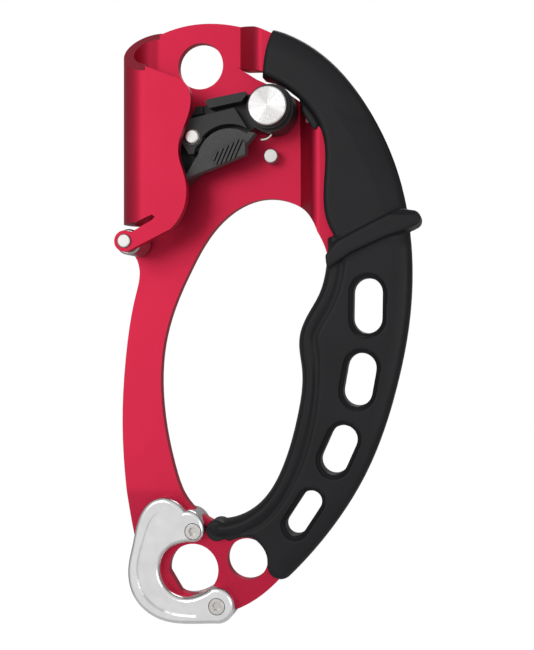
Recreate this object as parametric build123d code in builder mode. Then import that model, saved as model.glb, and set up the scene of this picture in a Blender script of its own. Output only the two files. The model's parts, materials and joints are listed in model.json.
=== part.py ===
"""Handled rope ascender, right hand, with a roller at the foot of its rope channel.

Millimetres. X runs right, Z up and Y away from the front. The origin is the centre of the top
carabiner hole, half way through the sheet. The rear of the body lies about y = 0, and the
handle, the rope and the foot lie about y = rope_y, so that the load hangs in line with the rope.
"""

from build123d import *
from math import atan2, cos, degrees, radians, sin
import os

# ---- Driving dimensions ---------------------------------------------------------------------

sheet_t = 3.5            # body sheet
channel_r = 7.0          # inside radius of the rope channel's fold
hand_height = 110.0      # height of the hand opening
hand_width = 50.0        # width of the hand opening
top_hole_r = 8.2
main_hole_r = 8.8        # the foot hole, which has one flat side
main_hole_flat = 7.9     # from its centre to the flat
side_hole_r = 7.1
rubber_t = 3.25          # rubber in front of and behind the handle
bead_t = 1.0             # how far the bead stands above the rubber
axle_r = 4.0
axle_head_r = 6.7
roller_r = 4.5
roller_axle_r = 1.5
rivet_r = 1.3            # catch rivet's pin
bolt_r = 2.0             # shackle bolts
cheek_t = 4.2            # shackle cheek

# ---- Clearances -----------------------------------------------------------------------------

run_gap = 0.05           # radial, pin in a turning bore
side_gap = 0.3           # between pieces that move past each other
seat_gap = 0.05          # between pieces that stay together

# ---- Depths, all worked out from the sheet and the channel ------------------------------------

rear_face = -sheet_t / 2
rope_y = rear_face - channel_r
flap_y = 2 * rope_y
flap_back = flap_y + sheet_t / 2
flap_face = flap_y - sheet_t / 2
foot_face = rope_y - sheet_t / 2
foot_back = rope_y + sheet_t / 2
washer_t = 0.8
cam_back = rear_face - seat_gap - washer_t - side_gap
cover_t = 2.6
cover_face = flap_back + 1.55
cover_back = cover_face + cover_t
catch_face = cover_face + side_gap
tab_face = cover_back + side_gap
tab_t = 1.6
catch_back = tab_face + tab_t
web_face = catch_back + 0.2
hub_face = cover_face - 0.8
bar_face = cover_face - 0.6
head_back = hub_face - side_gap
head_t = 2.3
grip_face = foot_face - rubber_t
grip_back = foot_back + rubber_t

# ---- Places in the flat layout ---------------------------------------------------------------

nominal_height = 110.0
nominal_width = 50.0


def spot(x, z):
    """Place a point of the layout: the hand opening's size moves what lies below and right."""
    right = min(max((x - 20.0) / 16.0, 0.0), 1.0)
    down = min(max((-70.0 - z) / 80.0, 0.0), 1.0)
    return (x + right * (hand_width - nominal_width), z - down * (hand_height - nominal_height))


def spots(*points):
    """Place several points of the layout."""
    return [spot(x, z) for x, z in points]


pivot = (27.0, -17.9)
rivet_at = (0.4, -27.2)
recess_at = (13.0, -35.6)
recess_r = 12.5          # the round recess in the cam's cover, which the catch sits in
recess_gap = 1.5         # room round the catch, which its swing takes up
stud_at = (26.3, -33.3)
roller_at = (-22.4, -62.9)
main_hole_at = spot(-0.2, -176.3)
side_hole_at = spot(18.9, -172.0)
upper_bolt_at = spot(0.6, -162.5)
lower_bolt_at = spot(9.0, -187.8)
lug_r = 3.65
fold_x = -15.0           # where the flat sheet turns into the fold
fold_bottom = -56.6
hub_r = 8.2


os.makedirs("parts", exist_ok=True)


def finish(piece, name):
    """Label a finished piece and write it to its own file."""
    piece.label = name
    export_step(piece, f"parts/{name}.step")


def front(y):
    """The upright plane at depth y, facing the front."""
    return Plane.XZ.offset(-y)


def outline(points, mode=Mode.ADD):
    """Fill a straight-sided outline in the sketch being drawn."""
    with BuildLine() as edge:
        Polyline(*points, close=True)
    make_face(edge.edges(), mode=mode)


def disc(at, radius, mode=Mode.ADD):
    """Draw a round face in the sketch being drawn."""
    with Locations(at):
        Circle(radius, mode=mode)


def pin(at, radius, y_back, y_front, mode=Mode.ADD):
    """A round bar along Y between two depths, in the part being built."""
    with BuildSketch(front(y_back)) as face:
        disc(at, radius)
    extrude(face.sketch, amount=y_back - y_front, mode=mode)


def slab(points, y_back, y_front, mode=Mode.ADD):
    """A flat straight-sided piece between two depths, in the part being built."""
    with BuildSketch(front(y_back)) as face:
        outline(points)
    extrude(face.sketch, amount=y_back - y_front, mode=mode)


# ---- Body sheet ------------------------------------------------------------------------------

outer_edge = spots(
    (-15.0, 11.7), (0.5, 14.9), (24.0, 9.7), (43.0, -2.8), (59.0, -21.5), (69.2, -46.0),
    (72.3, -73.0), (69.0, -104.5), (57.4, -140.0), (37.5, -169.5), (22.2, -185.4), (12.0, -190.6),
)
foot_edge = spots(
    (12.0, -190.6), (2.0, -191.0), (-9.5, -188.2), (-17.3, -180.5), (-19.3, -172.0), (-21.4, -166.0),
)
arm_edge = spots(
    (-21.4, -166.0), (-24.4, -150.0), (-26.9, -125.0), (-26.4, -102.0), (-23.6, -81.0), (-22.4, -74.0),
    (-23.4, -68.5),
)
loop_left = spots(
    (43.0, -60.0), (33.5, -49.4), (22.2, -47.7), (10.7, -52.6), (-4.2, -72.9), (-12.4, -97.0), (-12.4, -121.0),
    (-7.5, -142.0), (-3.9, -150.6), (1.1, -156.3),
)
loop_right = spots(
    (1.1, -156.3), (8.0, -160.0), (16.0, -161.6), (27.0, -154.5), (37.0, -139.0), (42.8, -118.0),
    (42.6, -100.0), (47.0, -86.0), (47.4, -72.0), (43.0, -60.0),
)
slit = spots(
    (13.2, -0.9), (16.2, -2.4), (24.2, -4.8), (31.1, -8.4), (40.4, -15.6), (42.8, -18.6), (42.2, -22.6),
    (38.4, -22.2), (38.0, -18.0), (36.8, -14.8), (31.4, -10.9), (20.3, -5.6),
)
grip_slots = [  # place, width, length and lean of each finger slot
    (spot(60.3, -85.2), 9.9, 18.6, 1.0),
    (spot(57.6, -110.0), 9.9, 18.0, 10.0),
    (spot(50.6, -133.7), 9.3, 17.4, 24.0),
    (spot(38.6, -155.4), 7.0, 17.2, 33.0),
]
slot_lip = 1.3           # step from a slot up to the rubber's face


def drawn_slots(grow, mode):
    """Draw the four finger slots, each grown by the same margin."""
    for at, width, length, lean in grip_slots:
        with Locations(Location(at, 90 - lean)):
            SlotOverall(length + 2 * grow, width + 2 * grow, mode=mode)


def blank():
    """Draw the body's flat outline with its openings in the sketch being drawn."""
    with BuildLine() as edge:
        Spline(*outer_edge)
        Spline(*foot_edge)
        Spline(*arm_edge)
        Polyline(arm_edge[-1], (fold_x, -64.0), (fold_x, 11.7))
    make_face(edge.edges())
    disc(roller_at, lug_r)
    outline([(-23.4, -68.5), (-25.6, -64.7), (-21.0, -59.5), (-13.0, -55.9), (-9.0, -60.0), (-15.0, -68.5)])
    with BuildLine() as loop:
        Spline(*loop_left)
        Spline(*loop_right)
    make_face(loop.edges(), mode=Mode.SUBTRACT)
    outline(slit, mode=Mode.SUBTRACT)
    disc((0, 0), top_hole_r, mode=Mode.SUBTRACT)
    disc(side_hole_at, side_hole_r, mode=Mode.SUBTRACT)
    drawn_slots(1.2, Mode.SUBTRACT)


def folded(profile, bend_r, plane, length, region):
    """One stretch of the body: a folded strip, cut to the blank inside a region."""
    with BuildPart(mode=Mode.PRIVATE) as stretch:
        with BuildSketch(plane):
            with BuildLine():
                FilletPolyline(*profile, radius=bend_r)
            trace(line_width=sheet_t)
        extrude(amount=length)
        with BuildSketch(front(30)):
            blank()
            outline(region, mode=Mode.INTERSECT)
        extrude(amount=80, mode=Mode.INTERSECT)
    return stretch.part


top_joggle = (spot(15.4, 0)[0], spot(22.6, 0)[0])
side_joggle = (spot(37.0, 0)[0], spot(42.6, 0)[0])
arm_bend = (spot(0, -72)[1], spot(0, -150)[1])
flat_turn = 212.0        # direction of the foot hole's flat
split_z = -66.0          # below this height the left arm and the handle are apart
far = 200.0
slit_line = spots(
    (-40, -1.6), (14.3, -1.6), (20.3, -5.2), (31.6, -10.4), (38.0, -15.0), (41.0, -19.0), (44.0, -24.0),
)

above_slit = folded(
    [(-far, 0), (top_joggle[0], 0), (top_joggle[1], rope_y), (far, rope_y)],
    3.0, Plane.XY.offset(-30), 60, slit_line + [(far, -24.0), (far, 40), (-40, 40)],
)
below_slit = folded(
    [(-far, 0), (side_joggle[0], 0), (side_joggle[1], rope_y), (far, rope_y)],
    2.6, Plane.XY.offset(-80), 80, slit_line[::-1] + [(-40, split_z), (far, split_z), (far, -24.0)],
)
arm_region = [(-60, split_z), (20, split_z), (20, -far * 2), (-60, -far * 2)]
arm = folded(
    [(0, 60), (0, arm_bend[0]), (rope_y, arm_bend[1]), (rope_y, -far * 1.5)],
    30.0, Plane.YZ.offset(-60), 80, arm_region,
)
with BuildPart() as handle_sheet:
    with BuildSketch(front(foot_back)):
        blank()
        outline([(20, split_z), (far, split_z), (far, -far * 2), (20, -far * 2)], mode=Mode.INTERSECT)
    extrude(amount=sheet_t)

flap_edge = [
    (-3.0, -8.2), (0.5, -12.2), (0.7, -18.6), (-2.3, -26.8), (-3.3, -33.4), (-1.1, -41.5), (-0.5, -47.5),
    (-2.2, -54.0), (-6.2, -59.1),
]
with BuildPart() as rope_fold:
    with BuildSketch(Plane.XY.offset(fold_bottom)):
        with BuildLine():
            ThreePointArc((fold_x, 0), (fold_x + rope_y, rope_y), (fold_x, flap_y))
        trace(line_width=sheet_t)
    extrude(amount=80)
    with BuildSketch(Plane.YZ.offset(-60)):
        outline([(40, -80), (40, 11.7 + 40 * 0.857), (-40, 11.7 - 40 * 0.857), (-40, -80)])
    extrude(amount=80, mode=Mode.INTERSECT)

with BuildPart() as flap:
    with BuildSketch(front(flap_back)):
        with BuildLine():
            Line((fold_x, 11.7 + 0.857 * flap_y), flap_edge[0])
            Spline(*flap_edge)
            Polyline(flap_edge[-1], (-20.8, -66.2), (-20.9, -59.6), (-12.6, -55.9), (-11.6, -54.8),
                     (-12.6, -54.0), (fold_x, -55.0), (fold_x, 11.7 + 0.857 * flap_y))
        make_face()
        disc(roller_at, lug_r)
    extrude(amount=sheet_t)

lug_slit = [
    (-40, -60.9), (-20.9, -60.4), (-12.6, -55.9), (-12.4, -54.2), (fold_x, -55.0), (-18.6, fold_bottom),
    (-40, fold_bottom),
]
with BuildPart() as body_plate:
    add(above_slit)
    add(below_slit)
    add(arm)
    add(handle_sheet.part)
    add(rope_fold.part)
    add(flap.part)
    with BuildSketch(front(30)):
        outline(lug_slit)
        disc(roller_at, lug_r, mode=Mode.SUBTRACT)
    extrude(amount=80, mode=Mode.SUBTRACT)
    with BuildSketch(front(foot_back + 1)):
        disc(main_hole_at, main_hole_r)
        with Locations(Location(main_hole_at, flat_turn)):
            with Locations((main_hole_flat, 0)):
                Rectangle(main_hole_r, 3 * main_hole_r, align=(Align.MIN, Align.CENTER), mode=Mode.SUBTRACT)
    extrude(amount=sheet_t + 2, mode=Mode.SUBTRACT)
    pin(pivot, axle_r, 10, -12, mode=Mode.SUBTRACT)
    pin(stud_at, 1.5, 10, -12, mode=Mode.SUBTRACT)
    pin(roller_at, roller_axle_r, 10, -40, mode=Mode.SUBTRACT)
    pin(upper_bolt_at, bolt_r + 0.1, 10, -40, mode=Mode.SUBTRACT)
    pin(lower_bolt_at, bolt_r + 0.1, 10, -40, mode=Mode.SUBTRACT)
finish(body_plate.part, "body_plate")

# ---- Rubber grip -----------------------------------------------------------------------------

bead_w = 6.0
bead_h = sheet_t / 2 + rubber_t + bead_t
grip_round = 1.8
grip_outer = spots(
    (27.8, 9.2), (43.6, 0.9), (60.2, -18.6), (70.6, -42.0), (74.7, -66.0), (74.3, -88.0), (69.8, -112.5),
    (59.6, -141.5), (44.5, -165.0), (33.8, -176.9),
)
grip_foot = spots((33.8, -176.9), (30.2, -178.2), (27.3, -176.8), (25.8, -173.2), (24.4, -168.4), (12.4, -166.0))
bead_line = spots(
    (8.9, -161.6), (15.6, -160.5), (25.5, -154.4), (34.3, -139.8), (39.2, -122.5), (40.6, -106.0),
    (39.8, -96.0), (41.6, -90.8), (46.2, -82.6), (48.8, -73.3), (49.3, -62.0),
)
grip_lap = spots(
    (49.3, -62.0), (46.0, -55.0), (45.2, -28.0), (42.6, -21.6), (37.0, -14.8), (31.0, -10.2), (24.4, -6.6),
)
grip_top = spots((24.4, -6.6), (25.4, 1.6), (27.8, 9.2))
slit_web = spots(
    (24.4, -2.5), (33.5, -6.5), (41.5, -13.5), (45.5, -20.0), (45.5, -25.5), (41.6, -25.5), (37.8, -19.2),
    (36.4, -13.2), (30.5, -8.9), (24.0, -7.2),
)
bead_end_at = spot(8.5, -162.2)
bead_end_r = 3.7
guard = spots(
    (46.4, -68.4), (50.4, -63.6), (60.0, -58.6), (71.0, -53.2), (74.6, -53.4), (75.2, -59.6), (66.0, -62.6),
    (55.0, -67.6), (47.0, -73.0),
)
guard_nub = spot(75.2, -56.4)
guard_nub_r = 2.8
guard_out = 2.6          # how far the guard stands out in front of the rubber
guard_rear = 1.6         # and behind it


def grip_shape():
    """Draw the whole outline of the rubber in the sketch being drawn."""
    with BuildLine() as edge:
        Spline(*grip_outer)
        Spline(*grip_foot)
        Line(grip_foot[-1], bead_line[0])
        Spline(*bead_line)
        Spline(*grip_lap)
        Spline(*grip_top)
    make_face(edge.edges())


with BuildPart() as grip_body:
    with BuildSketch(front(grip_back)):
        grip_shape()
    extrude(amount=grip_back - grip_face)
    fillet(grip_body.faces().filter_by(Axis.Y).edges(), grip_round)

with BuildPart() as bead:
    with BuildLine(Plane.XZ.offset(-rope_y)) as bead_path:
        Spline(*bead_line)
    with BuildSketch(Plane(origin=bead_path.line @ 0, x_dir=(0, 1, 0), z_dir=bead_path.line % 0)):
        Ellipse(bead_h, bead_w / 2)
    sweep()

with BuildPart() as grip:
    add(grip_body.part)
    add(bead.part)
    pin(bead_end_at, bead_end_r, rope_y + bead_h - 1.2, rope_y - bead_h + 1.2)
    slab(slit_web, grip_back, grip_face + 3.0)
    slab(guard, grip_back + guard_rear, grip_face - guard_out)
    pin(guard_nub, guard_nub_r, grip_back + guard_rear, grip_face - guard_out)
    with BuildSketch(front(grip_back + 2)):
        drawn_slots(0, Mode.ADD)
    extrude(amount=30, mode=Mode.SUBTRACT)
    with BuildSketch(front(grip_face + slot_lip)):
        drawn_slots(slot_lip, Mode.ADD)
    extrude(amount=slot_lip, mode=Mode.SUBTRACT)
    with BuildSketch(front(grip_back)):
        drawn_slots(slot_lip, Mode.ADD)
    extrude(amount=slot_lip, mode=Mode.SUBTRACT)
    pin(side_hole_at, side_hole_r + 0.25, 10, -30, mode=Mode.SUBTRACT)
    pin(pivot, hub_r + 0.6, 10, -30, mode=Mode.SUBTRACT)
    add(body_plate.part, mode=Mode.SUBTRACT)
finish(grip.part, "grip")

# ---- Cam and its cover -----------------------------------------------------------------------

cam_open = 37.0          # degrees from shut to the stop stud
nose_half = channel_r - 2.0
nose_high = 186.0        # direction of the nose's top corner, seen from the pivot
nose_low = 214.0
nose_reach = pivot[0] - (fold_x - channel_r) - 3.0
nose_drop = 5.0          # how much shorter the reach is at the low corner


def nose(angle):
    """A point of the cam's nose: its reach falls evenly from the high corner to the low one."""
    reach = nose_reach - nose_drop * (angle - nose_high) / (nose_low - nose_high)
    return (pivot[0] + reach * cos(radians(angle)), pivot[1] + reach * sin(radians(angle)))


stop_angle = degrees(atan2(stud_at[1] - pivot[1], stud_at[0] - pivot[0])) + 360 - cam_open
stop_reach = ((stud_at[0] - pivot[0]) ** 2 + (stud_at[1] - pivot[1]) ** 2) ** 0.5
stud_r = 2.5
lean = radians(stop_angle - degrees(stud_r / stop_reach) - 2.0)
stop_point = (pivot[0] + stop_reach * cos(lean), pivot[1] + stop_reach * sin(lean))
nose_arc = [nose(nose_high + step * (nose_low - nose_high) / 4) for step in range(5)]
finger_bar = [(4.9, -15.2), (6.2, -14.5), (19.0, -12.4), (19.4, -13.6), (17.7, -15.6), (6.4, -17.6)]
cam_top = [
    (27.0, -12.0), (19.0, -12.4), (6.2, -14.5), (3.0, -16.0), (0.6, -16.2), (-1.2, -19.4), (-15.0, -20.6),
]
bushing_r = axle_r + 1.2
well_r = axle_r + 1.9    # inside of the spring's well in the cam
well_deep = 4.4

leg_way = [(25.4, -24.0), (27.6, -24.0), (27.6, -30.0), (25.4, -30.0)]

with BuildPart() as cam:
    with BuildSketch(front(cam_back)):
        with BuildLine():
            Spline(*nose_arc)
            Polyline(nose_arc[-1], (-3.5, -42.6), stop_point, (20.5, -24.4), (27.0, -20.0), *cam_top, nose_arc[0])
        make_face()
        disc(pivot, hub_r)
    extrude(amount=cam_back - web_face)
    pin(pivot, hub_r, web_face + 0.5, cover_face + 1.6)
    pin(pivot, 7.4, web_face + 0.5, hub_face)
    slab(finger_bar, web_face + 0.5, bar_face)
    slab([(0.6, -16.2), (3.0, -16.0), (3.2, -18.6), (-0.9, -19.4)], web_face + 0.5, web_face - 1.3)
    with BuildSketch(front(rope_y + nose_half)):
        with BuildLine():
            Spline(*nose_arc)
            Polyline(nose_arc[-1], (-5.5, -36.0), (-6.5, -24.0), (-9.0, -20.2), (-15.0, -20.6), nose_arc[0])
        make_face()
    extrude(amount=2 * nose_half)
    for row in range(7):
        turn = nose_high + 2.0 + row * 3.9
        tip = nose(turn)
        for column in (-3.0, 0.0, 3.0) if row % 2 else (-1.5, 1.5):
            root = Plane(origin=(tip[0] + 0.4, rope_y + column, tip[1]),
                         z_dir=(cos(radians(turn - 25)), 0, sin(radians(turn - 25))))
            with Locations(Location(root)):
                Cone(0.9, 0.15, 2.0, align=(Align.CENTER, Align.CENTER, Align.MIN))
    pin(pivot, bushing_r, 10, -30, mode=Mode.SUBTRACT)
    with BuildSketch(front(10)):
        disc(pivot, hub_r - 1.0)
        disc(pivot, well_r, mode=Mode.SUBTRACT)
    extrude(amount=10 - cam_back + well_deep, mode=Mode.SUBTRACT)
    slab(leg_way, cam_back - 1.6, cam_back - well_deep, mode=Mode.SUBTRACT)
    pin(rivet_at, rivet_r, web_face + 4.0, -30, mode=Mode.SUBTRACT)
    with BuildSketch(front(web_face + 1.6)):
        disc(rivet_at, rivet_r + 1.7)
    extrude(amount=1.6, mode=Mode.SUBTRACT)
finish(cam.part, "cam")

cover_edge = [(-4.0, -21.6), (15.0, -17.7), (19.6, -25.0), (14.0, -33.0), (-1.0, -33.0), (-4.0, -28.0)]
boss_r = 3.4
with BuildPart() as cam_cover:
    slab(cover_edge, cover_back, cover_face)
    pin(recess_at, recess_r, cover_back + 1, cover_face - 1, mode=Mode.SUBTRACT)
    pin(rivet_at, boss_r, cover_back, cover_face)
    slab([(-4.0, -21.6), (15.0, -17.7), (15.9, -19.2), (-4.0, -23.3)], web_face - seat_gap, cover_back - 0.2)
    pin(rivet_at, rivet_r, 10, -30, mode=Mode.SUBTRACT)
finish(cam_cover.part, "cam_cover")

with BuildPart() as cam_bushing:
    pin(pivot, bushing_r, cam_back, hub_face)
    pin(pivot, axle_r + run_gap, 10, -30, mode=Mode.SUBTRACT)
finish(cam_bushing.part, "cam_bushing")

with BuildPart() as cam_washer:
    pin(pivot, axle_r + 3.6, rear_face - seat_gap, rear_face - seat_gap - washer_t)
    pin(pivot, axle_r + seat_gap, 10, -30, mode=Mode.SUBTRACT)
finish(cam_washer.part, "cam_washer")

ring_t = 1.4
with BuildPart() as cam_axle:
    pin(pivot, axle_r, -rear_face + ring_t, head_back)
    pin(pivot, axle_head_r, head_back, head_back - head_t)
    chamfer(cam_axle.edges().filter_by(GeomType.CIRCLE).sort_by(Axis.Y)[0], 0.4)
finish(cam_axle.part, "cam_axle")

with BuildPart() as axle_ring:
    pin(pivot, axle_r + 2.2, -rear_face + seat_gap + ring_t - 0.1, -rear_face + seat_gap)
    chamfer(axle_ring.edges().filter_by(GeomType.CIRCLE).sort_by(Axis.Y)[-1], 0.4)
    pin(pivot, axle_r, 10, -30, mode=Mode.SUBTRACT)
finish(axle_ring.part, "axle_ring")


def coil(at, y_start, mean_r, wire_r, pitch, turns):
    """A round-wire coil about an axis along Y, wound towards the front from y_start."""
    with BuildPart(mode=Mode.PRIVATE) as wound:
        with BuildLine() as path:
            Helix(pitch, pitch * turns, mean_r, center=(at[0], y_start, at[1]), direction=(0, -1, 0))
        with BuildSketch(Plane(origin=path.line @ 0, z_dir=path.line % 0)) as wire:
            Circle(wire_r)
        sweep(wire.sketch, path.line, is_frenet=True)
    return wound.part


spring_wire = 0.5
spring_mean = (well_r + hub_r - 1.0) / 2
with BuildPart() as cam_spring:
    add(coil(pivot, cam_back - 0.75, spring_mean, spring_wire, 1.15, 2.75))
    with BuildSketch(Plane.XY.offset(pivot[1] - hub_r - 1.4)):
        with Locations((26.4, cam_back - 3.6)):
            Circle(spring_wire)
    extrude(amount=3.2)
    with BuildSketch(Plane.YZ.offset(24.0)):
        with Locations((cam_back - 3.6, pivot[1] - hub_r - 1.4)):
            Circle(spring_wire)
    extrude(amount=2.8)
finish(cam_spring.part, "cam_spring")

# ---- Safety catch ----------------------------------------------------------------------------

pad = [(7.7, -34.8), (9.9, -32.6), (17.6, -28.4), (19.2, -30.0), (19.2, -33.9), (9.4, -37.4)]
pad_h = 2.4
rib_pitch = 1.75
rib_gap = 0.55
rib_deep = 1.4
rib_turn = 66.0
catch_foot = [(22.2, -26.4), (19.0, -30.2), (18.8, -33.4), (9.0, -37.3), (-2.8, -41.4)]
with BuildPart() as catch:
    with BuildSketch(front(catch_back)):
        outline([(20.9, -25.2), *catch_foot, (0.6, -32.0), (2.0, -29.0), (13.0, -20.0)])
        disc(recess_at, recess_r - recess_gap, mode=Mode.INTERSECT)
        outline([(20.2, -26.0), *catch_foot, (2.1, -33.4)])
    extrude(amount=catch_back - catch_face)
    pin(rivet_at, boss_r + 0.5, tab_face - 0.15, -30, mode=Mode.SUBTRACT)
    pin(rivet_at, 3.2, catch_back, tab_face)
    slab([(0.4, -24.1), (6.0, -28.5), (3.0, -33.0), (-1.4, -29.8)], catch_back, tab_face)
    slab(pad, catch_face, catch_face - pad_h)
    for rib in range(6):
        with BuildSketch(front(catch_face - pad_h + rib_deep)):
            with Locations(Location((9.3 + rib * rib_pitch, -34.4 + rib * rib_pitch / 2), rib_turn)):
                Rectangle(12, rib_gap)
        extrude(amount=3, mode=Mode.SUBTRACT)
    pin(rivet_at, rivet_r + run_gap, 10, -30, mode=Mode.SUBTRACT)
finish(catch.part, "catch")

rivet_head_t = 1.0
with BuildPart() as catch_washer:
    pin(rivet_at, 2.7, cover_face - seat_gap, cover_face - seat_gap - 0.25)
    pin(rivet_at, rivet_r + seat_gap, 10, -30, mode=Mode.SUBTRACT)
finish(catch_washer.part, "catch_washer")

rivet_seat = cover_face - 2 * seat_gap - 0.25
with BuildPart() as catch_rivet:
    pin(rivet_at, rivet_r, web_face + 4.0, rivet_seat)
    pin(rivet_at, 2.6, rivet_seat, rivet_seat - rivet_head_t)
    fillet(catch_rivet.edges().filter_by(GeomType.CIRCLE).sort_by(Axis.Y)[0], 0.7)
finish(catch_rivet.part, "catch_rivet")

with BuildPart() as catch_spring:
    add(coil(rivet_at, web_face + 1.2, rivet_r + 0.85, 0.25, 0.6, 1.5))
finish(catch_spring.part, "catch_spring")

# ---- Stop stud -------------------------------------------------------------------------------

stud_h = 5.6
with BuildPart() as stop_stud:
    pin(stud_at, 1.5, -rear_face + ring_t, rear_face - 1.0)
    pin(stud_at, stud_r, rear_face - seat_gap, rear_face - stud_h)
    chamfer(stop_stud.edges().filter_by(GeomType.CIRCLE).sort_by(Axis.Y)[0], 0.3)
finish(stop_stud.part, "stop_stud")

with BuildPart() as stud_ring:
    pin(stud_at, 2.9, -rear_face + seat_gap + 1.2, -rear_face + seat_gap)
    pin(stud_at, 1.5, 10, -30, mode=Mode.SUBTRACT)
finish(stud_ring.part, "stud_ring")

# ---- Roller ----------------------------------------------------------------------------------

shim_t = 0.4
sleeve_r = roller_axle_r + 0.9
roller_rear = rear_face - seat_gap - shim_t - side_gap
roller_front = flap_back + seat_gap + shim_t + side_gap
with BuildPart() as roller:
    pin(roller_at, roller_r, roller_rear, roller_front)
    chamfer(roller.edges().filter_by(GeomType.CIRCLE), 0.5)
    pin(roller_at, sleeve_r, 10, -40, mode=Mode.SUBTRACT)
finish(roller.part, "roller")

with BuildPart() as roller_bushing:
    pin(roller_at, sleeve_r, roller_rear, roller_front)
    pin(roller_at, roller_axle_r + run_gap, 10, -40, mode=Mode.SUBTRACT)
finish(roller_bushing.part, "roller_bushing")

shims = (("roller_washer_rear", rear_face - seat_gap), ("roller_washer_front", flap_back + seat_gap + shim_t))
for shim_name, shim_y in shims:
    with BuildPart() as shim:
        pin(roller_at, 3.1, shim_y, shim_y - shim_t)
        pin(roller_at, roller_axle_r + seat_gap, 10, -40, mode=Mode.SUBTRACT)
    finish(shim.part, shim_name)

with BuildPart() as roller_axle:
    pin(roller_at, roller_axle_r, -rear_face + 1.1, flap_face)
    pin(roller_at, 2.4, flap_face - seat_gap, flap_face - 0.9)
    fillet(roller_axle.edges().filter_by(GeomType.CIRCLE).sort_by(Axis.Y)[0], 0.5)
    pin(roller_at, roller_axle_r, flap_face, flap_face - 0.2)
finish(roller_axle.part, "roller_axle")

with BuildPart() as roller_axle_ring:
    pin(roller_at, 2.5, -rear_face + seat_gap + 1.0, -rear_face + seat_gap)
    pin(roller_at, roller_axle_r, 10, -40, mode=Mode.SUBTRACT)
finish(roller_axle_ring.part, "roller_axle_ring")

# ---- Shackle ---------------------------------------------------------------------------------

shackle_outer = spots(
    (-9.4, -151.2), (-16.2, -154.0), (-19.8, -161.0), (-21.2, -167.5), (-22.9, -176.6), (-20.2, -187.0),
    (-11.0, -193.6), (1.0, -194.4), (9.5, -193.9),
)
shackle_inner = spots(
    (7.0, -181.6), (2.6, -184.3), (-2.6, -185.4), (-8.6, -182.8), (-11.4, -176.6), (-9.6, -170.2), (-4.2, -166.9),
    (0.4, -166.3),
)
shackle_head = spots((0.4, -166.3), (4.4, -163.2), (3.6, -158.6), (-2.6, -155.4))
shackle_face = foot_face - seat_gap - cheek_t
shackle_back = foot_back + seat_gap + cheek_t


def shackle_shape(mode=Mode.ADD):
    """Draw the shackle's C in the sketch being drawn."""
    with BuildLine() as edge:
        Spline(*shackle_outer)
        ThreePointArc(shackle_outer[-1], spot(15.0, -187.4), shackle_inner[0])
        Spline(*shackle_inner)
        Spline(*shackle_head)
        Spline(shackle_head[-1], spot(-6.0, -152.4), shackle_outer[0])
    make_face(edge.edges(), mode=mode)


pocket_outer = spots(
    (-7.0, -155.8), (-13.6, -157.6), (-17.1, -165.0), (-19.6, -176.4), (-17.4, -184.9), (-10.6, -190.3),
    (-4.0, -191.7), (1.0, -191.8),
)
pocket_inner = spots(
    (1.0, -189.6), (-4.0, -189.3), (-9.8, -186.6), (-14.0, -178.6), (-12.6, -171.4), (-8.6, -167.8), (-5.8, -164.6),
    (-5.6, -160.4),
)
pocket = 1.2
screw_r = 2.85
with BuildPart() as shackle:
    with BuildSketch(front(shackle_back)):
        shackle_shape()
    extrude(amount=shackle_back - shackle_face)
    fillet(shackle.faces().filter_by(Axis.Y).edges(), 1.6)
    with BuildSketch(front(shackle_face + pocket)):
        with BuildLine():
            Spline(*pocket_outer)
            ThreePointArc(pocket_outer[-1], spot(2.1, -190.7), pocket_inner[0])
            Spline(*pocket_inner)
            ThreePointArc(pocket_inner[-1], spot(-5.2, -158.4), pocket_outer[0])
        make_face()
    extrude(amount=pocket + 1, mode=Mode.SUBTRACT)
    with BuildSketch(front(foot_back + seat_gap)):
        blank()
        outline([(-60, -140), (60, -140), (60, -400), (-60, -400)], mode=Mode.INTERSECT)
    extrude(amount=sheet_t + 2 * seat_gap, mode=Mode.SUBTRACT)
    for at in (upper_bolt_at, lower_bolt_at):
        pin(at, bolt_r + 0.1, 10, -40, mode=Mode.SUBTRACT)
        pin(at, screw_r + 0.1, shackle_face + 2.6, -40, mode=Mode.SUBTRACT)
        pin(at, screw_r + 0.1, 10, shackle_back - 2.6, mode=Mode.SUBTRACT)
finish(shackle.part, "shackle")

for place, at in (("upper", upper_bolt_at), ("lower", lower_bolt_at)):
    with BuildPart() as bolt:
        pin(at, bolt_r, shackle_back - 0.4, shackle_face + 2.0)
        pin(at, screw_r, shackle_face + 2.55, shackle_face - 0.3)
        chamfer(bolt.edges().filter_by(GeomType.CIRCLE).sort_by(Axis.Y)[0], 0.3)
        with BuildSketch(front(shackle_face + 1.4)) as socket:
            with Locations(at):
                RegularPolygon(1.6, 6)
        extrude(socket.sketch, amount=3, mode=Mode.SUBTRACT)
    finish(bolt.part, place + "_bolt")
    with BuildPart() as nut:
        pin(at, screw_r, shackle_back + 0.2, shackle_back - 2.55)
        chamfer(nut.edges().filter_by(GeomType.CIRCLE).sort_by(Axis.Y)[-1], 0.3)
        pin(at, bolt_r, 20, -40, mode=Mode.SUBTRACT)
    finish(nut.part, place + "_nut")
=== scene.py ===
"""Looks of the handled rope ascender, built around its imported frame.

Lengths are metres in the frame's own axes: X to the handle, Y away from the front, Z up, with the
origin at the centre of the top carabiner hole. Sizes in the classes below are millimetres, named
so, and turned into metres by ``MM``.
"""

import json
import logging
from dataclasses import dataclass
from enum import Enum
from math import radians, tau
from typing import Any, Sequence, Union

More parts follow.
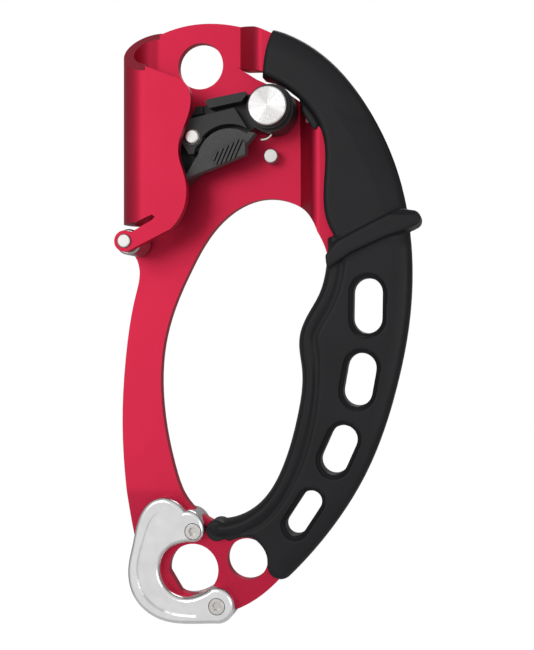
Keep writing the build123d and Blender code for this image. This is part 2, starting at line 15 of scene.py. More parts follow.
import bmesh
import bpy
import numpy as np
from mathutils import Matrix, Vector


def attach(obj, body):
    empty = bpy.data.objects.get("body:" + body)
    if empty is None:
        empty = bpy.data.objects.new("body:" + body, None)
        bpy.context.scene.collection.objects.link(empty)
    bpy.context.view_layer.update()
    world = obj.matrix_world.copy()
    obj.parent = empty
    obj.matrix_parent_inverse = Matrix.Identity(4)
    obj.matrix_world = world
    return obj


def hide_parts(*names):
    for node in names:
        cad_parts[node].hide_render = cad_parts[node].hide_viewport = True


MM = 0.001
WELD = 2e-6              # metres: closer corners than this are one
FLAT_ANGLE = 0.4         # degrees: facets that differ less than this are one face
LOG = logging.getLogger("ascender")
Points = Sequence[tuple[float, float]]

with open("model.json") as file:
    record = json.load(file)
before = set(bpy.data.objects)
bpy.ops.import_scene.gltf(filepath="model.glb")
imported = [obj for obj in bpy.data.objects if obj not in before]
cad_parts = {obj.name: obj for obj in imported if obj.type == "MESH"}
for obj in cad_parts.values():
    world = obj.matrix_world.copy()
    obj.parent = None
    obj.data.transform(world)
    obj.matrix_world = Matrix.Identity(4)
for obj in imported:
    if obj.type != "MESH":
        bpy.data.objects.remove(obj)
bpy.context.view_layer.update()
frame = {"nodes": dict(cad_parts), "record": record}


# ---- Shader tools ------------------------------------------------------------------------------


class Signal:
    """One number in a node tree, which ordinary arithmetic can be done on."""

    def __init__(self, graph: "Graph", socket: bpy.types.NodeSocket) -> None:
        """Wrap a socket.

        Args:
            graph: The node graph that the socket belongs to.
            socket: The output socket that carries the number.
        """
        self.graph = graph
        self.socket = socket

    def _math(self, operation: str, *values: Union["Signal", float]) -> "Signal":
        """Add one Math node.

        Args:
            operation: The Math node's operation.
            *values: Its inputs, in order.

        Returns:
            The node's result.
        """
        inputs = dict(enumerate(values))
        return self.graph.node("ShaderNodeMath", {"operation": operation}, inputs)

    def __add__(self, other: Union["Signal", float]) -> "Signal":
        """Sum."""
        return self._math("ADD", self, other)

    def __radd__(self, other: float) -> "Signal":
        """Sum, with the number first."""
        return self._math("ADD", other, self)

    def __sub__(self, other: Union["Signal", float]) -> "Signal":
        """Difference."""
        return self._math("SUBTRACT", self, other)

    def __rsub__(self, other: float) -> "Signal":
        """Difference, with the number first."""
        return self._math("SUBTRACT", other, self)

    def __mul__(self, other: Union["Signal", float]) -> "Signal":
        """Product."""
        return self._math("MULTIPLY", self, other)

    def __rmul__(self, other: float) -> "Signal":
        """Product, with the number first."""
        return self._math("MULTIPLY", other, self)

    def __truediv__(self, other: Union["Signal", float]) -> "Signal":
        """Quotient."""
        return self._math("DIVIDE", self, other)

    def __pow__(self, other: float) -> "Signal":
        """Power."""
        return self._math("POWER", self, other)

    def sine(self) -> "Signal":
        """Sine of the number."""
        return self._math("SINE", self)

    def cosine(self) -> "Signal":
        """Cosine of the number."""
        return self._math("COSINE", self)

    def root(self) -> "Signal":
        """Square root of the number."""
        return self._math("SQRT", self)

    def angle_to(self, other: "Signal") -> "Signal":
        """Angle whose tangent is this number over the other."""
        return self._math("ARCTAN2", self, other)

    def above(self, other: float) -> "Signal":
        """One where the number is above the other, else zero."""
        return self._math("GREATER_THAN", self, other)

    def clamped(self, low: float = 0.0, high: float = 1.0) -> "Signal":
        """The number held between two limits."""
        return self._math("MINIMUM", self._math("MAXIMUM", self, low), high)


class Graph:
    """A material's node tree, written as expressions."""

    def __init__(self, name: str) -> None:
        """Start an empty material.

        Args:
            name: The material's name.
        """
        self.material = bpy.data.materials.new(name)
        self.material.use_nodes = True
        self.tree = self.material.node_tree
        self.tree.nodes.clear()

    def node(
        self,
        kind: str,
        settings: dict[str, Any] | None = None,
        inputs: dict[Union[str, int], Any] | None = None,
        output: Union[str, int] = 0,
    ) -> Signal:
        """Add any node.

        Args:
            kind: The node's type.
            settings: Its properties, and ``stops`` for a colour ramp, which are set first.
            inputs: Values or links for its input sockets, by name or place.
            output: The output socket to return.

        Returns:
            The chosen output, wrapped.
        """
        made = self.tree.nodes.new(kind)
        for key, value in (settings or {}).items():
            if key == "stops":
                while len(made.color_ramp.elements) < len(value):
                    made.color_ramp.elements.new(0.5)
                for element, (place, colour) in zip(made.color_ramp.elements, value):
                    element.position = place
                    element.color = (*colour, 1.0)
            else:
                setattr(made, key, value)
        for key, value in (inputs or {}).items():
            if isinstance(value, Signal):
                self.tree.links.new(value.socket, made.inputs[key])
            else:
                made.inputs[key].default_value = value
        return Signal(self, made.outputs[output])

    def place(self, centre: tuple[float, float, float] = (0.0, 0.0, 0.0)) -> Signal:
        """Object coordinates, measured from a centre."""
        coords = self.node("ShaderNodeTexCoord", output="Object")
        shift = tuple(-value for value in centre)
        return self.node("ShaderNodeMapping", inputs={"Vector": coords, "Location": shift})

    def axes(self, place: Signal) -> tuple[Signal, Signal, Signal]:
        """Split a place into its three numbers."""
        split = self.node("ShaderNodeSeparateXYZ", inputs={0: place})
        return tuple(Signal(self, split.socket.node.outputs[k]) for k in range(3))

    def noise(self, place: Signal, per_mm: float, detail: float = 3.0, rough: float = 0.5) -> Signal:
        """Fractal noise from 0 to 1, with its size given in features per millimetre."""
        inputs = {"Vector": place, "Scale": per_mm / MM, "Detail": detail, "Roughness": rough}
        return self.node("ShaderNodeTexNoise", inputs=inputs)

    def blend(self, factor: Signal, first: tuple[float, ...], second: tuple[float, ...]) -> Signal:
        """Mix two colours."""
        made = self.tree.nodes.new("ShaderNodeMix")
        made.data_type = "RGBA"
        self.tree.links.new(factor.socket, made.inputs["Factor"])
        for socket, colour in ((made.inputs[6], first), (made.inputs[7], second)):
            if isinstance(colour, Signal):
                self.tree.links.new(colour.socket, socket)
            else:
                socket.default_value = (*colour, 1.0)
        return Signal(self, made.outputs[2])

    def bump(self, height: Signal, depth_mm: float, strength: float = 1.0) -> Signal:
        """A normal from a height, whose full swing is the given depth."""
        inputs = {"Height": height, "Distance": depth_mm * MM, "Strength": strength}
        return self.node("ShaderNodeBump", inputs=inputs, output="Normal")

    def surface(self, inputs: dict[str, Any]) -> bpy.types.Material:
        """Close the material with one principled surface.

        Args:
            inputs: Values or links for the surface's sockets.

        Returns:
            The finished material.
        """
        shader = self.node("ShaderNodeBsdfPrincipled", inputs=inputs)
        end = self.tree.nodes.new("ShaderNodeOutputMaterial")
        self.tree.links.new(shader.socket, end.inputs["Surface"])
        return self.material


def grey(level: float) -> tuple[float, float, float]:
    """A neutral colour."""
    return (level, level, level)


# ---- Finishes ----------------------------------------------------------------------------------


@dataclass(frozen=True)
class AnodisedSheet:
    """Satin anodised aluminium: a fine rolled grain under a clear coloured skin."""

    deep: tuple[float, float, float] = (0.36, 0.006, 0.028)
    bright: tuple[float, float, float] = (0.50, 0.014, 0.052)

    def material(self) -> bpy.types.Material:
        """Grain and slow clouds set the colour, the gloss and a slight relief."""
        graph = Graph("red_anodised")
        place = graph.place()
        grain = graph.noise(place, 3.2, detail=4.0, rough=0.6)
        clouds = graph.noise(place, 0.04, detail=2.0)
        tone = (grain * 0.55 + clouds * 0.45).clamped()
        return graph.surface({
            "Base Color": graph.blend(tone, self.deep, self.bright),
            "Metallic": 0.80,
            "Roughness": grain * 0.14 + 0.38,
            "Normal": graph.bump(grain, 0.012, 0.35),
        })


@dataclass(frozen=True)
class MouldedRubber:
    """Satin black rubber with a fine moulded skin."""

    dark: tuple[float, float, float] = (0.007, 0.007, 0.008)
    light: tuple[float, float, float] = (0.013, 0.013, 0.015)

    def material(self) -> bpy.types.Material:
        """A fine skin, with slow changes of gloss where it has been handled."""
        graph = Graph("grip_rubber")
        place = graph.place()
        skin = graph.noise(place, 2.4, detail=3.0)
        wear = graph.noise(place, 0.05, detail=2.0)
        return graph.surface({
            "Base Color": graph.blend(wear, self.dark, self.light),
            "Roughness": skin * 0.10 + wear * 0.12 + 0.34,
            "Specular IOR Level": 0.16,
            "Normal": graph.bump(skin, 0.03, 0.35),
        })


@dataclass(frozen=True)
class BlackCoat:
    """Black coated steel, a little glossy, with a slight orange peel."""

    name: str = "black_coat"
    level: float = 0.016
    gloss: float = 0.32

    def material(self) -> bpy.types.Material:
        """Orange peel in the relief and the gloss."""
        graph = Graph(self.name)
        place = graph.place()
        peel = graph.noise(place, 1.8, detail=3.0)
        return graph.surface({
            "Base Color": graph.blend(peel, grey(self.level), grey(self.level * 1.7)),
            "Roughness": peel * 0.16 + self.gloss,
            "Specular IOR Level": 0.22,
            "Normal": graph.bump(peel, 0.02, 0.4),
        })


@dataclass(frozen=True)
class RoughPlastic:
    """Black nylon with a coarse spark-eroded texture and pale rubbed specks."""

    def material(self) -> bpy.types.Material:
        """Specks of rubbed skin on a rough dark ground."""
        graph = Graph("black_catch")
        place = graph.place()
        texture = graph.noise(place, 3.0, detail=5.0, rough=0.7)
        rubbed = ((texture - 0.56) * 9.0).clamped()
        return graph.surface({
            "Base Color": graph.blend(rubbed, grey(0.034), grey(0.085)),
            "Roughness": 0.62 - rubbed * 0.14,
            "Normal": graph.bump(texture, 0.07, 0.6),
        })


@dataclass(frozen=True)
class TurnedFace:
    """Stainless steel faced on a lathe: fine rings in the relief, with a painted sheen in opposite sectors of
    the base colour.
    """

    centre_mm: tuple[float, float, float]
    ring_mm: float = 0.16

    def material(self) -> bpy.types.Material:
        """Relief rings from the distance to the axis, and a painted sheen from the angle about it: the base
        colour lightened in two opposite sectors.
        """
        graph = Graph("turned_steel")
        across, _, up = graph.axes(graph.place(tuple(value * MM for value in self.centre_mm)))
        reach = (across * across + up * up).root()
        rings = (reach * (tau / (self.ring_mm * MM))).sine()
        turn = up.angle_to(across)
        # Painted sheen: the base colour is lightened in two opposite sectors about the axis and rippled round
        # it, standing in for the turned face's reflection. The tone below is wholly this painted sheen and
        # sets both the base colour and the roughness.
        painted_sheen_sectors = ((turn * 2.0 - 1.9).cosine() * 0.5 + 0.5) ** 3.0
        painted_sheen_ripple = ((turn * 11.0).sine() + (turn * 17.0 + 1.0).sine() + (turn * 5.0).cosine()) * 0.06
        tone = (painted_sheen_sectors * 0.40 + painted_sheen_ripple + 0.55).clamped()
        return graph.surface({
            "Base Color": graph.blend(tone, (0.36, 0.350, 0.345), (0.60, 0.590, 0.590)),
            "Metallic": 1.0,
            "Roughness": 0.34 - tone * 0.10,
            "Normal": graph.bump(rings, 0.012, 0.5),
        })


@dataclass(frozen=True)
class PolishedSteel:
    """Forged steel, plated and polished, with a soft unevenness left by the polishing."""

    def material(self) -> bpy.types.Material:
        """Slow waves in the surface, and fine scratches in the gloss."""
        graph = Graph("polished_chrome")
        place = graph.place()
        waves = graph.noise(place, 0.22, detail=1.5)
        fine = graph.noise(place, 6.0, detail=3.0)
        return graph.surface({
            "Base Color": graph.blend(waves, (0.66, 0.655, 0.66), (0.82, 0.81, 0.81)),
            "Metallic": 1.0,
            "Roughness": fine * 0.08 + 0.14,
            "Normal": graph.bump(waves, 0.25, 0.5),
        })


@dataclass(frozen=True)
class PlainMetal:
    """Machined metal of one colour, with fine tool marks."""

    name: str
    colour: tuple[float, float, float]
    gloss: float = 0.30

    def material(self) -> bpy.types.Material:
        """Tool marks in the gloss and the relief."""
        graph = Graph(self.name)
        place = graph.place()
        marks = graph.noise(place, 4.0, detail=4.0)
        cloud = graph.noise(place, 0.3, detail=2.0)
        darker = tuple(value * 0.78 for value in self.colour)
        return graph.surface({
            "Base Color": graph.blend(cloud, darker, self.colour),
            "Metallic": 1.0,
            "Roughness": marks * 0.14 + self.gloss,
            "Normal": graph.bump(marks, 0.015, 0.4),
        })


# ---- Mesh tools --------------------------------------------------------------------------------


def grid_mesh(name: str, points: np.ndarray, close_u: bool = False, close_v: bool = False) -> bpy.types.Mesh:
    """Turn a grid of points into a mesh of quads.

    Args:
        name: The mesh's name.
        points: Array of shape (rows, columns, 3), in metres.
        close_u: Whether the last row joins the first.
        close_v: Whether the last column joins the first.

    Returns:
        The mesh.
    """
    rows, columns = points.shape[:2]
    index = np.arange(rows * columns).reshape(rows, columns)
    index = np.vstack([index, index[:1]]) if close_u else index
    index = np.hstack([index, index[:, :1]]) if close_v else index
    quads = np.stack([index[:-1, :-1], index[1:, :-1], index[1:, 1:], index[:-1, 1:]], axis=-1)
    mesh = bpy.data.meshes.new(name)
    mesh.from_pydata(points.reshape(-1, 3).tolist(), [], quads.reshape(-1, 4).tolist())
    return mesh


def smooth_line(points: Points, count: int) -> np.ndarray:
    """A smooth curve through points, evenly stepped along its length.

    A Catmull-Rom curve: between two points it is the cubic whose slope at each point is that of
    the line between its neighbours.

    Args:
        points: The points to pass through.
        count: How many points to return.

    Returns:
        Array of shape (count, dimensions).
    """
    base = np.asarray(points, float)
    padded = np.vstack([2 * base[0] - base[1], base, 2 * base[-1] - base[-2]])
    step = np.linspace(0.0, 1.0, 24, endpoint=False)[:, None]
    spans = [
        0.5 * (
            2 * b + (c - a) * step + (2 * a - 5 * b + 4 * c - d) * step**2
            + (3 * b - a - 3 * c + d) * step**3
        )
        for a, b, c, d in zip(padded[:-3], padded[1:-2], padded[2:-1], padded[3:])
    ]
    dense = np.vstack([*spans, base[-1:]])
    run = np.concatenate([[0.0], np.cumsum(np.linalg.norm(np.diff(dense, axis=0), axis=1))])
    want = np.linspace(0.0, run[-1], count)
    return np.stack([np.interp(want, run, dense[:, k]) for k in range(dense.shape[1])], axis=1)


def clean_normals(mesh: bpy.types.Mesh, merge: float = 1e-7) -> None:
    """Merge doubled points and point every face outwards.

    Args:
        mesh: The mesh to mend.
        merge: How near two points are to be one, in metres.
    """
    work = bmesh.new()
    work.from_mesh(mesh)
    bmesh.ops.remove_doubles(work, verts=work.verts, dist=merge)
    bmesh.ops.recalc_face_normals(work, faces=work.faces)
    work.to_mesh(mesh)
    work.free()


def new_piece(name: str, mesh: bpy.types.Mesh) -> bpy.types.Object:
    """Put a mesh into the scene as an object at the origin."""
    piece = bpy.data.objects.new(name, mesh)
    bpy.context.scene.collection.objects.link(piece)
    return piece


def shade_smooth(mesh: bpy.types.Mesh) -> None:
    """Shade every face of a mesh smooth."""
    mesh.polygons.foreach_set("use_smooth", np.ones(len(mesh.polygons), bool))


def apply_modifiers(piece: bpy.types.Object) -> None:
    """Make a piece's modifiers part of its mesh."""
    depsgraph = bpy.context.evaluated_depsgraph_get()
    finished = bpy.data.meshes.new_from_object(piece.evaluated_get(depsgraph))
    piece.modifiers.clear()
    piece.data = finished


class Edge(Enum):
    """How far a machined piece's corners are eased, in millimetres."""

    FORGED = 0.45
    SHEET = 0.38
    MOULDED = 0.32
    CRISP = 0.14
    FINE = 0.08


@dataclass
class Machined:
    """A frame node finished as the real piece is: the same shape with its corners eased."""

    node: str
    edge: Edge
    angle: float = 32.0
    segments: int = 3

    def build(self, finish: bpy.types.Material) -> bpy.types.Object:
        """Copy the node's mesh, ease its corners and dress it.

        Args:
            finish: The material to give it.

        Returns:
            The finished piece, which stands for the node.
        """
        mesh = frame["nodes"][self.node].data.copy()
        work = bmesh.new()
        work.from_mesh(mesh)
        bmesh.ops.remove_doubles(work, verts=work.verts, dist=WELD)
        bmesh.ops.dissolve_limit(work, angle_limit=radians(FLAT_ANGLE), verts=work.verts, edges=work.edges)
        work.to_mesh(mesh)
        work.free()
        shade_smooth(mesh)
        mesh.materials.clear()
        mesh.materials.append(finish)
        piece = new_piece(self.node + "_finished", mesh)
        bevel = piece.modifiers.new("eased", "BEVEL")
        bevel.limit_method = "ANGLE"
        bevel.angle_limit = radians(self.angle)
        bevel.width = self.edge.value * MM
        bevel.segments = self.segments
        bevel.use_clamp_overlap = True
        bevel.miter_outer = "MITER_ARC"
        normals = piece.modifiers.new("flat_faces", "WEIGHTED_NORMAL")
        normals.keep_sharp = False
        normals.weight = 60
        return piece


def stands_for(piece: bpy.types.Object, node: str) -> None:
    """Let a piece ride with the body of the node it stands for, and take its slot."""
    body = next(name for name, nodes in frame["record"]["behaviour"]["bodies"].items() if node in nodes)
    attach(piece, body)
    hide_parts(node)
    LOG.info("%s rides %s with %d faces", piece.name, body, len(piece.data.polygons))


# ---- Rubber grip -------------------------------------------------------------------------------


def nearest(places: np.ndarray, line: np.ndarray) -> tuple[np.ndarray, np.ndarray]:
    """Distance from each place to a line, and which side of it the place is on.

    The distance to one stretch is the length of what is left of the vector from its start once
    the part along the stretch, held to its ends, is taken away. The smallest over all stretches
    counts.

    Args:
        places: Array of shape (count, 2).
        line: Array of shape (points, 2).

    Returns:
        The distances, and +1 to the left of the line's run or -1 to its right.
    """
    start, run = line[:-1], np.diff(line, axis=0)
    out = places[:, None, :] - start[None]
    share = np.clip((out * run).sum(2) / (run**2).sum(1), 0.0, 1.0)
    left_over = out - share[..., None] * run
    gaps = np.linalg.norm(left_over, axis=2)
    best = gaps.argmin(1)
    rows = np.arange(len(places))
    cross = run[best, 0] * out[rows, best, 1] - run[best, 1] * out[rows, best, 0]
    return gaps[rows, best], np.sign(cross)


@dataclass
class RubberGrip:
    """The rubber moulded round the handle, with its bead, its guard and its finger slots."""

    node: str = "grip"
    voxel: float = 0.55
    middle: float = -8.75
    crease_from: tuple[float, float] = (47.0, -16.0)
    crease_to: tuple[float, float] = (69.0, -64.0)
    crease_bulge: float = 2.4
    bead: Points = (
        (8.9, -161.6), (15.6, -160.5), (25.5, -154.4), (34.3, -139.8), (39.2, -122.5), (40.6, -106.0),
        (39.8, -96.0), (41.6, -90.8), (46.2, -82.6), (48.8, -73.3), (49.3, -62.0),
    )
    bead_edge: float = 2.8
    groove_top: float = -68.0
    outer: Points = (
        (27.8, 9.2), (43.6, 0.9), (60.2, -18.6), (70.6, -42.0), (74.7, -66.0), (74.3, -88.0), (69.8, -112.5),
        (59.6, -141.5), (44.5, -165.0), (33.8, -176.9),
    )
    slope: float = 0.17
    groove_deep: float = 0.7
    groove_wide: float = 0.75
    facet_top: float = -14.0
    facet_rise: float = 8.0
    facet_foot: float = -65.5
    facet_fall: float = 3.0
    crown_wide: float = 7.0
    crown_deep: float = 1.5
    ease_rounds: int = 4
    core_half: float = 1.2
    side_wide: float = 2.4
    guard_at: float = -63.0
    guard_half: float = 8.0
    face_half: float = 5.25

    def crease(self) -> np.ndarray:
        """The crease's line: a shallow bow between its ends, a parabola over the straight chord.

        Returns:
            Array of shape (points, 2), in millimetres.
        """
        start, end = np.array(self.crease_from), np.array(self.crease_to)
        share = np.linspace(0.0, 1.0, 60)[:, None]
        run = end - start
        out = np.array((-run[1], run[0])) / np.linalg.norm(run)
        return start + run * share + out * self.crease_bulge * 4.0 * share * (1.0 - share)

    def relief(self, places: np.ndarray) -> np.ndarray:
        """How far each point of the faces lies below the flat moulded face, in millimetres.

        It is the sum of three shapes. Outside the crease the face slopes down evenly with the
        distance to it. Beside the bead, at a fixed distance from its centreline, runs a groove
        whose depth falls off as a bell curve. Near the outer edge the face curves down with the
        square of how far it is inside the crown.

        Args:
            places: Array of shape (count, 2): X and Z in millimetres.

        Returns:
            The depths.
        """
        crease, side = nearest(places, self.crease())
        fade_in = np.clip((self.facet_top - places[:, 1]) / self.facet_rise, 0, 1)
        fade_out = np.clip((places[:, 1] - self.facet_foot) / self.facet_fall, 0, 1)
        facet = self.slope * crease * (side > 0) * fade_in * fade_out
        bead, hand = nearest(places, smooth_line(self.bead, 80))
        beside = (hand < 0) & (places[:, 1] < self.groove_top)
        channel = self.groove_deep * np.exp(-(((bead - self.bead_edge) / self.groove_wide) ** 2)) * beside
        edge, _ = nearest(places, smooth_line(self.outer, 70))
        crown = self.crown_deep * np.clip(1.0 - edge / self.crown_wide, 0, 1) ** 2
        return facet + channel + crown

    def build(self, finish: bpy.types.Material) -> bpy.types.Object:
        """Resample the moulded solid evenly, soften it, sink its faces by the relief and dress it.

        Args:
            finish: The rubber.

        Returns:
            The finished grip.
        """
        piece = new_piece("grip_rubber", frame["nodes"][self.node].data.copy())
        clean_normals(piece.data, WELD)
        remesh = piece.modifiers.new("even", "REMESH")
        remesh.mode = "VOXEL"
        remesh.voxel_size = self.voxel * MM
        ease = piece.modifiers.new("eased", "SMOOTH")
        ease.factor = 0.5
        ease.iterations = self.ease_rounds
        apply_modifiers(piece)
        mesh = piece.data
        points = np.empty(len(mesh.vertices) * 3, np.float32)
        mesh.vertices.foreach_get("co", points)
        points = points.reshape(-1, 3).astype(float) / MM
        height = points[:, 1] - self.middle
        facing = np.clip((np.abs(height) - self.core_half) / self.side_wide, 0, 1)
        on_guard = (np.abs(points[:, 2] - self.guard_at) < self.guard_half) & (np.abs(height) > self.face_half)
        sink = self.relief(points[:, [0, 2]]) * facing * np.where(on_guard, 0.0, 1.0)
        points[:, 1] -= np.sign(height) * sink
        mesh.vertices.foreach_set("co", (points * MM).astype(np.float32).ravel())
        mesh.update()
        shade_smooth(mesh)
        mesh.materials.clear()
        mesh.materials.append(finish)
        return piece


# ---- Springs -----------------------------------------------------------------------------------


@dataclass
class CoilSpring:
    """A wound wire spring with one straight leg, on an axis that runs front to back."""

    node: str
    name: str
    centre: tuple[float, float]
    start: float
    radius: float
    wire: float
    pitch: float
    turns: float
    leg: tuple[tuple[float, float, float], ...] = ()
    around: int = 12

    def path(self) -> np.ndarray:
        """Centreline of the wire: a helix, x and z the cosine and sine of the turn, then the leg.

        Returns:
            Array of shape (points, 3), in millimetres.
        """
        turn = np.linspace(0.0, self.turns * tau, int(self.turns * 40))
        helix = np.stack([
            self.centre[0] + self.radius * np.cos(turn),
            self.start - self.pitch * turn / tau,
            self.centre[1] + self.radius * np.sin(turn),
        ], axis=1)
        return np.vstack([smooth_line(self.leg, 40), helix]) if self.leg else helix

    def build(self, finish: bpy.types.Material) -> bpy.types.Object:
        """Carry a circle along the path, square to its run, and close both ends on a point.

        Each ring is the centre plus the wire's radius times the cosine of the second parameter
        along one cross direction and its sine along the other.

        Args:
            finish: The wire's material.

        Returns:
            The spring.
        """
        line = self.path()
        run = np.gradient(line, axis=0)
        run /= np.linalg.norm(run, axis=1, keepdims=True)
        across = np.cross(run, np.array([0.0, 1.0, 0.0]) + 0.01)
        across /= np.linalg.norm(across, axis=1, keepdims=True)
        over = np.cross(run, across)
        turn = np.linspace(0.0, tau, self.around, endpoint=False)
        size = np.ones(len(line))
        size[[0, -1]] = 0.02
        rings = (
            line[:, None] + self.wire * size[:, None, None] * (
                np.cos(turn)[None, :, None] * across[:, None] + np.sin(turn)[None, :, None] * over[:, None]
            )
        )
        mesh = grid_mesh(self.name, rings * MM, close_v=True)
        caps = bmesh.new()
        caps.from_mesh(mesh)
        bmesh.ops.holes_fill(caps, edges=caps.edges)
        bmesh.ops.recalc_face_normals(caps, faces=caps.faces)
        caps.to_mesh(mesh)
        caps.free()
        shade_smooth(mesh)
        mesh.materials.append(finish)
        return new_piece(self.name, mesh)


# ---- Studio ------------------------------------------------------------------------------------


@dataclass(frozen=True)
class SoftBox:
    """One soft square light."""

    name: str
    place: tuple[float, float, float]
    size: float
    power: float


@dataclass
class Studio:
    """The camera, the pale floor, the even surroundings and the soft lights."""

    camera_at: tuple[float, float, float] = (0.0975, -0.3797, -0.0917)
    aim: tuple[float, float, float] = (0.02399, -0.00175, -0.09169)
    lens: float = 60.92
    floor_at: float = -0.32
    floor_half: float = 0.26
    lights: tuple[SoftBox, ...] = (
        SoftBox("key", (-0.42, -0.95, 0.16), 0.50, 2.4),
        SoftBox("fill", (0.45, -0.55, -0.10), 0.30, 0.8),
        SoftBox("rim", (0.10, 0.50, 0.45), 0.40, 1.6),
    )

    def aim_at(self, thing: bpy.types.Object, target: tuple[float, float, float]) -> None:
        """Turn a camera or a light to face a point."""
        direction = Vector(target) - thing.location
        thing.rotation_euler = direction.to_track_quat("-Z", "Y").to_euler()

    def camera(self) -> None:
        """Stand the camera a little to the right of the front, level with the middle."""
        data = bpy.data.cameras.new("camera")
        data.lens = self.lens
        data.sensor_width = 36.0
        data.clip_start = 0.01
        thing = bpy.data.objects.new("camera", data)
        bpy.context.scene.collection.objects.link(thing)
        thing.location = self.camera_at
        self.aim_at(thing, self.aim)
        bpy.context.scene.camera = thing

    def floor(self) -> None:
        """Lay a plain pale floor below the object."""
        side = np.linspace(-self.floor_half, self.floor_half, 2)
        across, along = np.meshgrid(side + 0.024, side, indexing="ij")
        mesh = grid_mesh("floor", np.stack([across, along, np.full_like(across, self.floor_at)], axis=-1))
        graph = Graph("floor_paint")
        cloud = graph.noise(graph.place(), 0.01, detail=2.0)
        mesh.materials.append(graph.surface({
            "Base Color": graph.blend(cloud, grey(0.82), grey(0.86)),
            "Roughness": 0.7,
        }))
        new_piece("floor", mesh)

    def surroundings(self) -> None:
        """Plain white where the camera looks, and for the light bright in front and dim at the sides."""
        world = bpy.data.worlds.new("surroundings")
        world.use_nodes = True
        tree = world.node_tree
        tree.nodes.clear()
        coords = tree.nodes.new("ShaderNodeTexCoord")
        split = tree.nodes.new("ShaderNodeSeparateXYZ")
        ramp = tree.nodes.new("ShaderNodeMapRange")
        ramp.inputs["From Min"].default_value = -0.80
        ramp.inputs["From Max"].default_value = 0.10
        ramp.inputs["To Min"].default_value = 0.90
        ramp.inputs["To Max"].default_value = 0.30
        rays = tree.nodes.new("ShaderNodeLightPath")
        pick = tree.nodes.new("ShaderNodeMix")
        pick.inputs["B"].default_value = 1.0
        light = tree.nodes.new("ShaderNodeBackground")
        light.inputs["Color"].default_value = (1.0, 1.0, 1.0, 1.0)
        end = tree.nodes.new("ShaderNodeOutputWorld")
        tree.links.new(coords.outputs["Generated"], split.inputs[0])
        tree.links.new(split.outputs["Y"], ramp.inputs["Value"])
        tree.links.new(rays.outputs["Is Camera Ray"], pick.inputs["Factor"])
        tree.links.new(ramp.outputs["Result"], pick.inputs["A"])
        tree.links.new(pick.outputs["Result"], light.inputs["Strength"])
        tree.links.new(light.outputs[0], end.inputs["Surface"])
        bpy.context.scene.world = world

    def build(self) -> None:
        """Set up everything round the object."""
        self.camera()
        self.floor()
        self.surroundings()
        for box in self.lights:
            data = bpy.data.lights.new(box.name, "AREA")
            data.energy = box.power
            data.size = box.size
            thing = bpy.data.objects.new(box.name, data)
            bpy.context.scene.collection.objects.link(thing)
            thing.location = box.place
            self.aim_at(thing, self.aim)
        bpy.context.scene.view_settings.view_transform = "Standard"


# ---- Assemblies --------------------------------------------------------------------------------


class Finishes:
    """Every material of the ascender, made once, by the record's slot names."""

    def __init__(self) -> None:
        """Make the materials."""
        steel = (0.44, 0.43, 0.42)
        self.by_slot: dict[str, bpy.types.Material] = {
            "red_anodised": AnodisedSheet().material(),
            "grip_rubber": MouldedRubber().material(),
            "black_cam": BlackCoat("black_cam", 0.012, 0.30).material(),
            "black_cover": BlackCoat("black_cover", 0.020, 0.42).material(),
            "black_catch": RoughPlastic().material(),
            "turned_steel": TurnedFace((27.0, -16.0, -17.9)).material(),
            "polished_chrome": PolishedSteel().material(),
            "bright_screw": PlainMetal("bright_screw", (0.66, 0.64, 0.62), 0.24).material(),
            "stainless": PlainMetal("stainless", steel, 0.28).material(),
            "bronze": PlainMetal("bronze", (0.55, 0.36, 0.17), 0.34).material(),
            "spring_wire": PlainMetal("spring_wire", (0.70, 0.66, 0.58), 0.22).material(),
        }

    def __getitem__(self, slot: str) -> bpy.types.Material:
        """The material of one slot."""
        return self.by_slot[slot]


@dataclass
class MachinedSet:
    """A group of machined pieces that belong together: node, slot and corner."""

    label: str
    members: tuple[tuple[str, str, Edge], ...]

    def build(self, finishes: Finishes) -> None:
        """Ease, dress and place every member."""
        for node, slot, edge in self.members:
            stands_for(Machined(node, edge).build(finishes[slot]), node)
        LOG.info("%s: %d pieces", self.label, len(self.members))


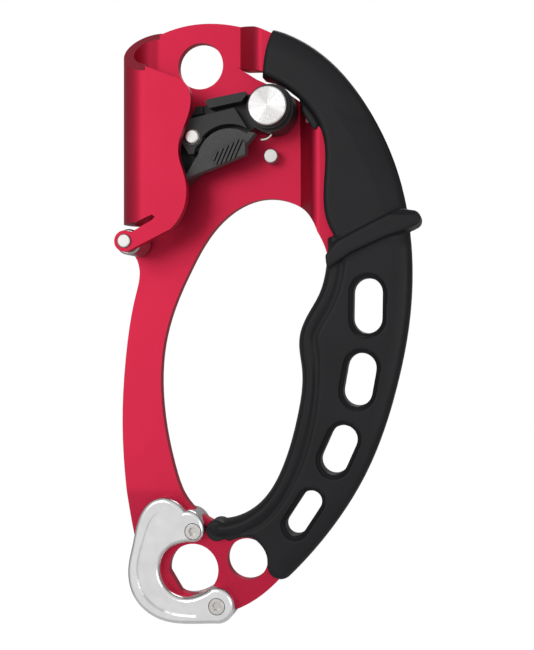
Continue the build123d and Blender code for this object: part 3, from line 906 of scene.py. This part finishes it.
BODY = MachinedSet("body sheet and its rivets", (
    ("body_plate", "red_anodised", Edge.SHEET),
    ("stop_stud", "stainless", Edge.FINE),
    ("stud_ring", "stainless", Edge.FINE),
))
PIVOT = MachinedSet("cam's axle", (
    ("cam_axle", "turned_steel", Edge.CRISP),
    ("axle_ring", "stainless", Edge.FINE),
    ("cam_washer", "stainless", Edge.FINE),
    ("cam_bushing", "bronze", Edge.FINE),
))
CAM = MachinedSet("cam and its cover", (
    ("cam", "black_cam", Edge.CRISP),
    ("cam_cover", "black_cover", Edge.CRISP),
    ("catch_rivet", "stainless", Edge.FINE),
    ("catch_washer", "stainless", Edge.FINE),
))
CATCH = MachinedSet("safety catch", (("catch", "black_catch", Edge.MOULDED),))
ROLLER = MachinedSet("roller", (
    ("roller", "stainless", Edge.FINE),
    ("roller_bushing", "bronze", Edge.FINE),
    ("roller_washer_rear", "stainless", Edge.FINE),
    ("roller_washer_front", "stainless", Edge.FINE),
    ("roller_axle", "stainless", Edge.FINE),
    ("roller_axle_ring", "stainless", Edge.FINE),
))
SHACKLE = MachinedSet("shackle and its bolts", (
    ("shackle", "polished_chrome", Edge.FORGED),
    ("upper_bolt", "bright_screw", Edge.FINE),
    ("lower_bolt", "bright_screw", Edge.FINE),
    ("upper_nut", "bright_screw", Edge.FINE),
    ("lower_nut", "bright_screw", Edge.FINE),
))


def main() -> None:
    """Build the ascender's pieces in order, then the studio."""
    logging.basicConfig(level=logging.INFO, format="%(name)s: %(message)s")
    finishes = Finishes()
    for group in (BODY, PIVOT, CAM, CATCH, ROLLER, SHACKLE):
        group.build(finishes)
    stands_for(RubberGrip().build(finishes["grip_rubber"]), "grip")
    springs = (
        CoilSpring(
            "cam_spring", "cam_spring_wire", (27.0, -17.9), -3.65, 6.55, 0.5, 1.15, 2.75,
            (
                (22.6, -6.9, -27.5), (24.4, -6.9, -27.5), (26.0, -6.9, -26.6), (26.6, -6.9, -25.4),
                (26.4, -6.9, -24.6),
            ),
        ),
        CoilSpring(
            "catch_spring", "catch_spring_wire", (0.4, -27.2), -8.3, 2.15, 0.25, 0.6, 1.5,
        ),
    )
    for spring in springs:
        stands_for(spring.build(finishes["spring_wire"]), spring.node)
    Studio().build()


if __name__ == "__main__":
    main()
